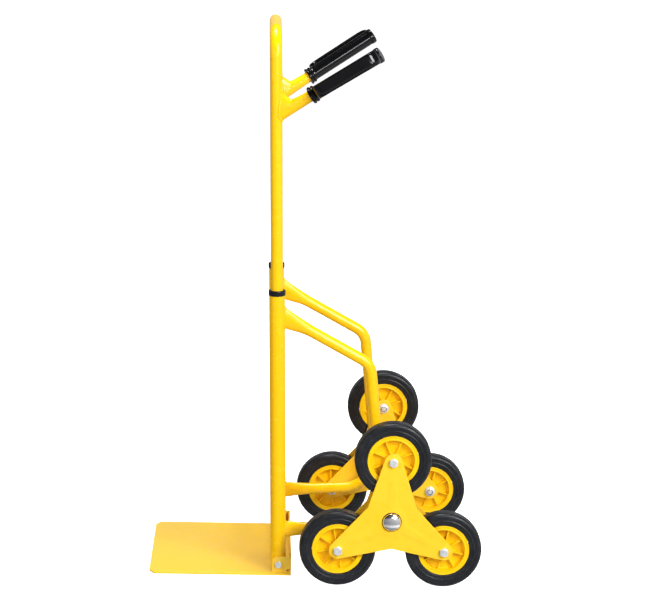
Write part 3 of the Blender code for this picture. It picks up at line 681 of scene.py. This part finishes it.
def axle_parts():
    """The housing across the frame, and the spacers between it and the clusters."""
    place = np.array(JOINTS["left_cluster_turn"]["pos_m"]) * (1, 0, 1)
    half = HOUSING_HALF
    outer = 12.5 * MM
    housing = ring_of([(outer, -half), (outer, half), (AXLE_BORE, half), (AXLE_BORE, -half)],
                      np.array([0.7, 0.7, 0.3, 0.3]) * MM)
    piece("housing_of_axle", moved(housing, outward(1), place), PAINT, "frame", ["axle_housing"])
    start = half + GAP
    end = WHEEL_PLANE - BOLT_FACE
    waist_r = 10.6 * MM
    spacer = ring_of([(SPACER_R, start), (SPACER_R, half + 5 * MM), (waist_r, half + 6 * MM),
                      (waist_r, end - 5 * MM), (SPACER_R, end - 4 * MM), (SPACER_R, end),
                      (AXLE_BORE, end), (AXLE_BORE, start)], 0.5 * MM)
    for word, side in SIDES.items():
        piece(f"axle_spacer_of_{word}", moved(spacer, outward(side), place), ZINC, "frame",
              [f"{word}_axle_spacer"])
    axle = frame["nodes"]["axle"]
    for slot in axle.material_slots:
        slot.material = ZINC[0]


# Handle


def handle_tube():
    """The bent tube, with the locks' holes in its legs' inner sides."""
    corners = [(0, -UPRIGHT_Y, HANDLE_BOTTOM), (0, -UPRIGHT_Y, HANDLE_TOP),
               (0, UPRIGHT_Y, HANDLE_TOP), (0, UPRIGHT_Y, HANDLE_BOTTOM)]
    path = evenly(softened(corners, HANDLE_BEND, 16), 0.005)
    shape = tube(path, HANDLE_R, HANDLE_WALL, (1, 0, 0))
    drill = turned(np.array([(0, -2), (4.3, -2), (4.3, 20), (0, 20)]) * MM, 32)
    holes = [moved(drill, [(1, 0, 0), (0, 0, side), (0, -side, 0)], (0, side * UPRIGHT_Y, height))
             for side in SIDES.values() for height in LOCK_HOLES]
    return leaned(combined(shape, "DIFFERENCE", holes))


class GripLine:
    """A grip's axis: where it leaves the handle leg, and its directions in the leaning frame."""

    def __init__(self, side):
        level = cos(STUB_PITCH)
        self.start = np.array([0, side * UPRIGHT_Y, STUB_HEIGHT])
        self.along = np.array([level * cos(STUB_SPLAY), side * level * sin(STUB_SPLAY),
                               sin(STUB_PITCH)])
        self.out = np.array([-sin(STUB_SPLAY), side * cos(STUB_SPLAY), 0])
        self.rise = np.cross(self.along, self.out) * side

    def points(self, rise, out, along):
        """Points this far above the axis, outside it and along it."""
        rise, out, along = (np.asarray(length)[..., None] for length in (rise, out, along))
        return self.start + rise * self.rise + out * self.out + along * self.along


def stub(line):
    """A stub whose root is drawn up into the corner of the handle leg, and the weld there."""
    root = 0.072  # the root's length along the axis
    reach = np.concatenate([np.linspace(0.011, 0.040, 22), np.linspace(0.043, root, 12),
                            np.linspace(0.080, 0.125, 6)])
    flare = ramped(1 - reach / root, 0.01)
    corner = ramped(1 - (reach - 0.013) / 0.023, 0.002)
    # Sections are upright at the leg, and square to the axis beyond the root.
    turn = eased((reach - root / 2) / (root / 2))[:, None]
    up = unit((1 - turn) * (0, 0, 1) + turn * line.rise)
    square = np.sqrt(1 - (up @ line.along) ** 2)
    above = STUB_R * (1 + 0.42 * flare) / square + 0.024 * corner
    below = STUB_R * (1 + 0.22 * flare) / square
    across = STUB_R * (1 - 0.10 * flare)
    around = circle(1, 64)
    rise = np.where(around[:, 0] > 0, above[:, None], below[:, None]) * around[:, 0]
    out = across[:, None] * around[:, 1]
    rings = line.points(0, out, reach[:, None]) + rise[..., None] * up[:, None]
    inside = HANDLE_R - WELD_DEPTH
    met = meeting(rings[0], -line.along, line.start, inside)
    tip = meeting(line.start + line.along * 0.02, -line.along, line.start, inside)
    weld = meeting(rings[0], -line.along, line.start, HANDLE_R)
    bare = rings[np.hypot(*(rings[:, 0] - line.start)[:, :2].T) > HANDLE_R]
    shape = skin(closed(np.concatenate([met[None], bare]), start=tip))
    return shape, bead(weld, (weld - line.start) * (1, 1, 0))


def grip_body(line):
    """The turned grip: two rings at its start, a smooth flaring barrel and a rounded end."""
    profile = softened([
        (11.5, 0.0), (17.2, 0.0), (18.0, 0.8), (18.0, 3.0), (17.2, 3.8), (15.9, 4.4), (15.9, 6.8),
        (16.7, 7.4), (17.3, 8.1), (17.3, 9.8), (16.6, 10.7), (14.6, 12.2), (14.2, 14.5), (14.2, 22),
        (14.5, 80), (15.0, 140), (15.0, 151), (15.6, 153), (16.0, 154.2), (16.0, 160),
        (15.2, 162.2), (12.5, 163), (0, 163)], 1.2, 5)
    axes = [line.rise, line.out, line.along]
    return moved(turned(profile * MM, 96), axes, line.points(0, 0, GRIP_START))


def guard(line):
    """The strap that shields the knuckles, thickened where it leaves the grip."""
    corners = np.array([(4, 0, 17.1), (39.9, 0, 17.1), (39.9, 0, 157.1), (4, 0, 157.1)]) * MM
    path = evenly(softened(corners, 17.9 * MM, 16), 2.5 * MM)
    along = distances(path)
    root = np.minimum(along, along[-1] - along)
    flare = np.exp(-np.maximum(root - 10 * MM, 0) / (3.2 * MM))
    thick = 2.1 * MM + 2.4 * MM * flare + 0.5 * MM * (along > along[-1] / 2) * flare
    half_width = 13.5 * MM
    wide = half_width - 0.5 * MM * flare
    square = softened([(1, 1), (-1, 1), (-1, -1), (1, -1)], 0.6, 6, loop=True)
    through, over = evenly(square, 0.05, loop=True).T
    belly = 0.35 * MM * np.cos(over * pi / 2)
    # The outer face slopes back below a line along its lower third, which catches the light.
    below = -over * half_width - 8 * MM
    slope = 0.42 * ramped(below, (3 * MM) ** 2) * np.clip(0.5 - through, 0, 1)
    depth = thick[:, None] * through + np.sign(through) * belly + slope
    sections = np.stack([wide[:, None] * over, depth], axis=-1)
    points, faces = skin(closed(swept(path, sections, (0, 1, 0))))
    return line.points(points[:, 1], points[:, 0], points[:, 2] + GRIP_START), faces


def handle_pieces():
    piece("loop_of_handle", handle_tube(), PAINT, "handle", ["handle_tube"], sharp=40)
    for word, side in SIDES.items():
        line = GripLine(side)
        shape, weld = stub(line)
        piece(f"stub_of_grip_{word}", leaned(shape), PAINT, "handle", [f"{word}_grip_stub"])
        piece(f"weld_of_stub_{word}", leaned(weld), PAINT, "handle", sharp=60)
        grip = joined(grip_body(line), guard(line))
        piece(f"grip_{word}", leaned(grip), GRIP, "handle", [f"{word}_grip"])


# Fasteners


def hexagonal(across, low, high):
    """A hexagonal block along z with its top corners turned off by a cone."""
    steps = 96
    angles = np.arange(steps) * 2 * pi / steps
    fold = (angles + pi / 6) % (pi / 3) - pi / 6
    edge = np.minimum(across / 2 / np.cos(fold), across / 2 * 1.135)
    face = across / 2 * 0.94
    drop = (edge - face) * tan(radians(30))
    rows = [(0, high), (face * 0.5, high), (face, high),
            (edge - 0.15 * MM, high - drop + 0.09 * MM), (edge, high - drop - 0.15 * MM),
            (edge, low + 0.3 * MM), (edge - 0.3 * MM, low), (0, low)]
    rings = [np.column_stack([circle(1, steps) * np.broadcast_to(r, steps)[:, None],
                              np.broadcast_to(z, steps)]) for r, z in rows]
    return skin(np.array(rings))


def threaded(radius, low, high):
    """A bolt's shank along z, with thread rings over its end at low."""
    pitch = 1.25 * MM
    profile = [(0, high), (radius, high)]
    for z in np.arange(low + 14 * MM, low + 1.6 * MM, -pitch):
        profile += [(radius, z), (radius - 0.55 * MM, z - pitch / 2)]
    profile += [(radius, low + 1.0 * MM), (radius - 1.0 * MM, low), (0, low)]
    return turned(profile, 40)


def bolt(size, shank):
    """A bolt with its head from z = 0 up and its shank below."""
    radius, across, head, _ = size
    return joined(hexagonal(across, 0, head), threaded(radius, -shank, head / 2))


def nut(size, washer_r):
    """A washer, and on it a nut whose crimped collar holds a plastic ring."""
    radius, across, _, height = size
    washer = ring_of([(radius, WASHER), (washer_r, WASHER), (washer_r, 0), (radius, 0)],
                     0.3 * MM, 3)
    shoulder = WASHER + 0.68 * height
    top = WASHER + height
    outside = CRIMP * across
    inside = outside - 1.1 * MM
    crimped = ring_of([(inside, shoulder - 1 * MM), (outside, shoulder - 1 * MM),
                       (outside, top - 0.5 * MM), (outside - 0.6 * MM, top), (inside, top),
                       (inside, top - 1 * MM)], np.array([0, 0, 0.5, 0.3, 0.3, 0]) * MM)
    return joined(washer, hexagonal(across, WASHER, shoulder), crimped)


def nut_insert(size):
    """The plastic ring that locks a nut, recessed inside its collar."""
    radius, across, _, height = size
    top = 0.6 * MM + height
    inside = radius - 0.5 * MM
    outside = CRIMP * across - 1 * MM
    return ring_of([(inside, top), (outside, top), (outside, top - 2 * MM), (inside, top - 2 * MM)],
                   0.3 * MM, 3)


def hinge_fasteners():
    outer = 19.8 * MM
    inner = 16.3 * MM
    for word, side in SIDES.items():
        axis = np.array([0, side * UPRIGHT_Y, PIVOT_HEIGHT])
        made = moved(bolt(HINGE_BOLT, outer + inner + 11 * MM), leaning_axes(side),
                     leaning(axis + (0, side * outer, 0)))
        piece(f"bolt_of_hinge_{word}", made, ZINC, "frame", [f"{word}_hinge_bolt"])
        made = moved(nut(HINGE_BOLT, 8.2 * MM), leaning_axes(-side),
                     leaning(axis - (0, side * inner, 0)))
        piece(f"nut_of_hinge_{word}", made, ZINC, "frame", [f"{word}_hinge_nut"])


# Toe plate


def toe_plate():
    """Bent sheet: the flat plate, a flange along its rear edge and an ear outside each upright."""
    low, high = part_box("toe_plate")
    front = low.x - PIVOT[0]
    wide = high.y
    rear = high.x - PIVOT[0]
    bottom = -PIVOT[2]
    sheet = 3 * MM
    cut = 18 * MM
    edge = rear - 0.2 * MM
    outline = [(front, -wide + cut), (front + 0.6 * cut, -wide), (edge, -wide), (edge, wide),
               (front + 0.6 * cut, wide), (front, wide - cut)]
    corners = np.array([5, 5, 3, 3, 5, 5]) * MM
    base = prism(softened(outline, corners, 6, loop=True), bottom, bottom + sheet)
    ear_y = UPRIGHT_Y + UPRIGHT_R + 0.5 * MM
    top = 15.9 * MM
    start = rear - 12 * MM
    section = softened([(start, bottom + 0.4 * MM), (rear, bottom + 0.4 * MM), (rear, top),
                        (rear - sheet, top), (rear - sheet, bottom + 2.7 * MM),
                        (start, bottom + 2.7 * MM)], [0, 1.2 * MM, 0, 0, 2.5 * MM, 0], 6, loop=True)
    across = [(1, 0, 0), (0, 0, 1), (0, 1, 0)]
    flange = moved(prism(section, -ear_y - sheet, ear_y + sheet), across)
    edge = rear - 0.3 * MM
    top = 16.5 * MM
    start = -12 * MM
    ear = softened([(edge, bottom + 1 * MM), (edge, top), (start, top), (start, bottom + 1 * MM)],
                   [0, 1.0 * MM, 10.5 * MM, 0], 12, loop=True)
    ears = [moved(prism(ear, *sorted((side * ear_y, side * (ear_y + sheet)))), across)
            for side in SIDES.values()]
    whole = combined(base, "UNION", [flange, *ears])
    # A hole through the foot of each ear relieves the bend.
    drill = turned([(0, -1), (3.4 * MM, -1), (3.4 * MM, 1), (0, 1)], 32)
    holes = [moved(drill, [(1, 0, 0), (0, 0, 1), (0, 0.2 * side, 0)],
                   (rear - 6.2 * MM, side * ear_y, bottom + 7.2 * MM)) for side in SIDES.values()]
    points, faces = combined(whole, "DIFFERENCE", holes, bevel=0.45 * MM)
    return points + PIVOT, faces


# Clusters


def star_outline(up):
    """Dense points round three round-ended arms, anticlockwise, with softened inner corners."""
    waist = 57 * MM
    tip = 18 * MM
    count = 25
    corner = np.array([waist * cos(pi / 3) - RING_R, waist * sin(pi / 3)])
    half = np.arctan2(corner[1], corner[0]) - np.arccos(tip / np.hypot(*corner))
    points = []
    for angle in np.radians(list(WHEELS.values())):
        bolt_place = RING_R * np.array([cos(angle), sin(angle)])
        turns = np.linspace(angle - half, angle + half, count)
        points += list(bolt_place + tip * np.column_stack([np.cos(turns), np.sin(turns)]))
        points.append(waist * np.array([cos(angle + pi / 3), sin(angle + pi / 3)]))
    radii = ([0] * count + [10 * MM]) * 3
    outline = evenly(softened(points, radii, 10, loop=True), 1.6 * MM, loop=True)
    return outline * (1, up)


def relief(places, up):
    """How far the pressed ridges along the arms stand out of the plate at these places."""
    height = np.zeros(len(places))
    radius = np.hypot(places[:, 0], places[:, 1])
    for angle in np.radians(list(WHEELS.values())):
        way = np.array([cos(angle), up * sin(angle)])
        along = places @ way
        across = np.abs(places[:, 0] * way[1] - places[:, 1] * way[0])
        half = np.interp(along, [0, 0.03, 0.095], [0.0155, 0.0150, 0.0105])
        side = eased((half - across) / (10 * MM))
        end = eased(np.clip((0.099 - along) / 0.022, 0, 1) * np.clip(along / 0.012, 0, 1))
        height = np.maximum(height, side * end)
    middle = eased((0.034 - radius) / (10 * MM))
    return 0.9 * MM * np.maximum(height, middle)


def star_plate(up):
    """A pressed plate about the hub along z: its flat inner face is at z = 0."""
    outline = star_outline(up)
    ahead = unit(np.roll(outline, -1, 0) - np.roll(outline, 1, 0))
    inward = np.column_stack([-ahead[:, 1], ahead[:, 0]]) * up
    inset = outline + inward * 1.0 * MM
    shares = np.concatenate([np.linspace(0.12, 0.96, 44), [1]])
    rows = [(inset * share, 0.0) for share in shares]
    rows += [(outline + inward * MM * back, -MM * fall)
             for back, fall in ((0.5, 0.12), (0.15, 0.42), (0, 0.9))]
    front = [np.column_stack([p, STAR_THICKNESS + drop + relief(p, up)]) for p, drop in rows]
    rows = [(outline, 0.35), (outline + inward * 0.25 * MM, 0.06), (inset, 0.0)]
    rows += [(inset * share, 0.0) for share in shares[-2::-1]]
    back = [np.column_stack([p, MM * rise + relief(p, up)]) for p, rise in rows]
    return skin(closed(np.array(front + back)))


def rim_profile(radius):
    """The height of the rim's face between its ribs, at these distances from its axis."""
    profile = [
        (5.3, 21.8), (6.2, 22.2), (12.3, 22.2), (12.8, 22), (13, 21.5), (13.35, 3.6), (14.2, 2.9),
        (15.5, 2.5), (39.6, 2.5), (41.2, 2.9), (42.1, 3.7), (42.6, 5.2), (42.85, 15.3),
        (43.1, 15.8), (43.7, 16), (44.6, 16), (45.2, 15.6), (49.2, 15.6), (49.8, 16), (50.9, 16),
        (51.6, 15.7), (52, 15)]
    return np.interp(radius, *(np.array(profile) * MM).T)


def rim(phase):
    """A rim about z with a boss, eight ribs and a grooved ring on each face."""
    levels = np.array([
        5.3, 6.2, 9, 12.3, 12.8, 13, 13.35, 14.2, 15.5, 18, 22, 26, 30, 34, 37, 39.6, 41.2, 42.1,
        42.6, 42.85, 43.1, 43.7, 44.6, 45.2, 47.2, 49.2, 49.8, 50.9, 51.6, 52]) * MM
    # The lines of half a rib, from its middle outwards: how far out, and how high
    half = np.array([(0, 11.0), (0.8, 11.0), (1.25, 10.85), (1.45, 10.2), (1.62, 3.3), (1.95, 2.7),
                     (2.6, 0)]) * MM
    offsets, heights = np.vstack([half[:0:-1] * (-1, 1), half]).T
    ribs = 8
    between = 7
    share = 2 * pi / ribs
    starts = phase + (np.arange(ribs) + 0.5) * share
    rises = np.tile(np.append(heights, np.zeros(between)), ribs)
    rings = []
    for radius in levels:
        lines = np.arcsin(offsets / max(radius, 13 * MM))
        plain = np.linspace(lines[-1], lines[0] + share, between + 2)[1:-1]
        turns = np.add.outer(starts, np.append(lines, plain)).ravel()
        ribbed = rises * (13.2 * MM < radius < 43 * MM)
        height = np.maximum(rim_profile(radius), ribbed)
        rings.append(np.column_stack([radius * np.cos(turns), radius * np.sin(turns), height]))
    front = np.array(rings)
    return skin(np.concatenate([front, front[::-1] * (1, 1, -1)]), loop=True)


def tyre():
    """A solid tyre about z: a grooved tread, and a ridge and a band on each wall."""
    half = np.array([
        (52.6, 15.4), (53.0, 16.0), (53.8, 16.35), (57, 16.5), (60.3, 16.6), (60.9, 16.9),
        (61.3, 17.55), (61.9, 17.8), (62.7, 17.8), (63.3, 17.5), (63.8, 17.15), (65, 17.2),
        (68, 17.55), (70.6, 17.7), (72.6, 17.45), (74.2, 16.7), (75.6, 15.4), (76.6, 13.7),
        (77.15, 11.8), (77.35, 10.2), (77.42, 8.6), (77.40, 7.7), (77.2, 7.5), (76.55, 7.35),
        (76.55, 6.45), (77.2, 6.3), (77.45, 6.1), (77.5, 3.6), (77.48, 0.95), (77.25, 0.75),
        (76.6, 0.6), (76.6, 0)]) * MM
    return turned(np.vstack([half, half[-2::-1] * (1, -1)]), 160, loop=True)


def hub_cap():
    """A polished dome, about z from the star plate's face."""
    radius = 18.4 * MM
    low = 1.2 * MM
    turns = np.linspace(0, pi / 2, 30)
    dome = np.column_stack([radius * np.sin(turns), 2.5 * MM + 8 * MM * np.cos(turns)])
    edge = softened([(radius, 1.4 * MM), (18.1 * MM, low), (9 * MM, low)],
                    [0.2 * MM, 0.1 * MM, 0], 5)
    return turned(np.vstack([dome, edge, [(0, low)]]), 120)


def cap_shade_ring():
    """The thin dark ring that the dome sits in, a dark piece standing in for the shade at the cap's
    edge.
    """
    low = 0.1 * MM
    high = 1.1 * MM
    return ring_of([(9 * MM, high), (20 * MM, high), (20 * MM, low), (9 * MM, low)],
                   [0, 0.4 * MM, 0.2 * MM, 0], 5, 120)


# How far each rim's ribs are turned, in degrees
RIB_PHASES = {("left", "top"): 0, ("left", "front"): -11, ("left", "rear"): 9,
              ("right", "top"): 3.5, ("right", "front"): 17, ("right", "rear"): -6}


def cluster(word, side):
    """Two star plates, a sleeve between them and three bolted wheels, on the axle's capped end."""
    hub = np.array(JOINTS[f"{word}_cluster_turn"]["pos_m"])
    body = f"{word}_cluster"
    turn = outward(side)
    # The shape's own y runs down on the right and up on the left.
    up = -side
    plate = star_plate(up)
    flipped = [(1, 0, 0), (0, 0, up), (0, up, 0)]
    for kind, axes, way in (("outer", turn, side), ("inner", flipped, -side)):
        made = moved(plate, axes, hub + (0, way * PLATE_INSIDE, 0))
        piece(f"star_{kind}_{word}", made, STAR_PAINT, body, [f"{word}_{kind}_star"])
    half = PLATE_INSIDE - GAP
    sleeve = ring_of([(15 * MM, half), (15 * MM, -half), (AXLE_BORE, -half), (AXLE_BORE, half)],
                     0.5 * MM)
    piece(f"sleeve_of_hub_{word}", moved(sleeve, turn, hub), ZINC, body, [f"{word}_hub_sleeve"])
    face = np.array([0, side * BOLT_FACE, 0])
    piece(f"cap_of_hub_{word}", moved(hub_cap(), turn, hub + face), CHROME, "frame",
          [f"{word}_hub_cap"])
    # A dark ring round the cap's foot stands in for the shade at its edge.
    piece(f"shade_ring_of_cap_{word}", moved(cap_shade_ring(), turn, hub + face), BLACK, "frame")
    for name in WHEELS:
        place = np.array(JOINTS[f"{word}_{name}_wheel_spin"]["pos_m"])
        spinning = f"{word}_{name}_wheel"
        phase = radians(RIB_PHASES[word, name])
        shank = 2 * BOLT_FACE + 9.6 * MM
        inward = outward(-side)
        for kind, shape, axes, at, finish, moves_with in (
                ("rim", rim(phase), turn, place, RIM, spinning),
                ("tyre", tyre(), turn, place, RUBBER, spinning),
                ("bolt", bolt(WHEEL_BOLT, shank), turn, place + face, ZINC, body),
                ("nut", nut(WHEEL_BOLT, 11 * MM), inward, place - face, ZINC, body)):
            piece(f"{kind}_{word}_{name}", moved(shape, axes, at), finish, moves_with,
                  [f"{word}_{name}_{kind}"])
        piece(f"insert_{word}_{name}", moved(nut_insert(WHEEL_BOLT), inward, place - face), BLACK,
              body)


# Stage, lights and camera


def stage():
    """A pale floor that curves up into a wall all round."""
    made = Nodes("floor_white", 0.9, **{
        "Specular IOR Level": 0.1, "Emission Color": (1, 1, 1, 1), "Emission Strength": 0.97})
    shade = made.span(made.noise(0.6, 2), 0.3, 0.7)
    made.colour(made.colours(shade, (0.80, 0.80, 0.80), (0.83, 0.83, 0.83)))
    profile = softened([(0, 0), (11, 0), (12, 7)], 3.0, 24)
    mesh = mesh_from("floor_of_stage", turned(profile, 96))
    mesh.shade_smooth()
    mesh.materials.append(made.material)
    floor = placed("floor_of_stage", mesh)
    # The floor is seen, and takes shadows, but doesn't light the object from below.
    floor.visible_diffuse = False
    floor.visible_glossy = False


def area_light(name, place, target, size, power, glossy):
    """A rectangular light aimed at a target, seen in reflections only where glossy is true."""
    data = bpy.data.lights.new(name, "AREA")
    data.shape = "RECTANGLE"
    data.size, data.size_y = size
    data.energy = power
    light = placed(name, data)
    back = unit(np.array(place, float) - np.array(target, float))
    right = unit(np.cross((0, 0, 1), back))
    turn = np.column_stack([right, np.cross(back, right), back])
    light.matrix_world = Matrix.Translation(place) @ Matrix(turn.tolist()).to_4x4()
    light.visible_camera = False
    light.visible_glossy = glossy


def lights():
    middle = (0, 0, 0.35)
    area_light("key", (2.8, -3.6, 3.2), middle, (2.0, 2.0), 262, True)
    area_light("fill", (-3.0, -3.4, 1.9), middle, (2.0, 2.4), 88, False)
    area_light("top", (-0.2, 0.3, 3.6), middle, (1.2, 1.2), 88, True)
    area_light("back", (-1.4, 3.2, 2.2), middle, (2.4, 1.4), 40, False)
    area_light("strip", (1.05, -2.95, 1.30), (0, 0, 0.9), (1.1, 0.34), 23, True)


def surroundings():
    """A grey studio, dark above, with a bright band below the horizon, and dimmer on its left."""
    world = bpy.data.worlds.new("studio")
    bpy.context.scene.world = world
    world.use_nodes = True
    nodes = world.node_tree.nodes
    links = world.node_tree.links
    place = nodes.new("ShaderNodeTexCoord")
    parts = nodes.new("ShaderNodeSeparateXYZ")
    height = nodes.new("ShaderNodeMapRange")
    across = nodes.new("ShaderNodeMapRange")
    ramp = nodes.new("ShaderNodeValToRGB")
    preset(height, {"From Min": -1})
    preset(across, {"From Min": -0.7, "From Max": 0.7, "To Min": 0.52, "To Max": 1.25})
    # Greys from straight down, at 0, to straight up, at 1
    stops = ramp.color_ramp.elements
    for position in (0.12, 0.16, 0.23, 0.28, 0.44, 0.59, 0.67):
        stops.new(position)
    for stop, grey in zip(stops, (0.30, 0.33, 0.95, 0.95, 0.35, 0.44, 0.54, 0.07, 0.04)):
        stop.color = (grey, grey, grey * 1.03, 1)
    background = nodes["Background"].inputs
    links.new(place.outputs["Generated"], parts.inputs["Vector"])
    links.new(parts.outputs["Z"], height.inputs["Value"])
    links.new(height.outputs["Result"], ramp.inputs["Fac"])
    links.new(ramp.outputs["Color"], background["Color"])
    links.new(parts.outputs["X"], across.inputs["Value"])
    links.new(across.outputs["Result"], background["Strength"])


def camera():
    """The camera that the photograph was matched to."""
    place = (-0.12526905, -4.74933733, 1.58014521)
    yaw, pitch, roll = 0.03146, 0.21494, 0.02582
    data = bpy.data.cameras.new("camera")
    data.sensor_width = 36
    data.lens = 128.02
    data.clip_end = 60
    made = placed("camera", data)
    turn = (Matrix.Rotation(-yaw, 4, "Z") @ Matrix.Rotation(pi / 2 - pitch, 4, "X")
            @ Matrix.Rotation(roll, 4, "Z"))
    made.matrix_world = Matrix.Translation(place) @ turn
    bpy.context.scene.camera = made
    bpy.context.scene.view_settings.view_transform = "Standard"


camera()
stage()
lights()
surroundings()
frame_pieces()
collars_and_locks()
axle_parts()
handle_pieces()
hinge_fasteners()
piece("toe_plate_bent", toe_plate(), TOE_PAINT_LIT, "toe", ["toe_plate"], sharp=30)
for word, side in SIDES.items():
    cluster(word, side)
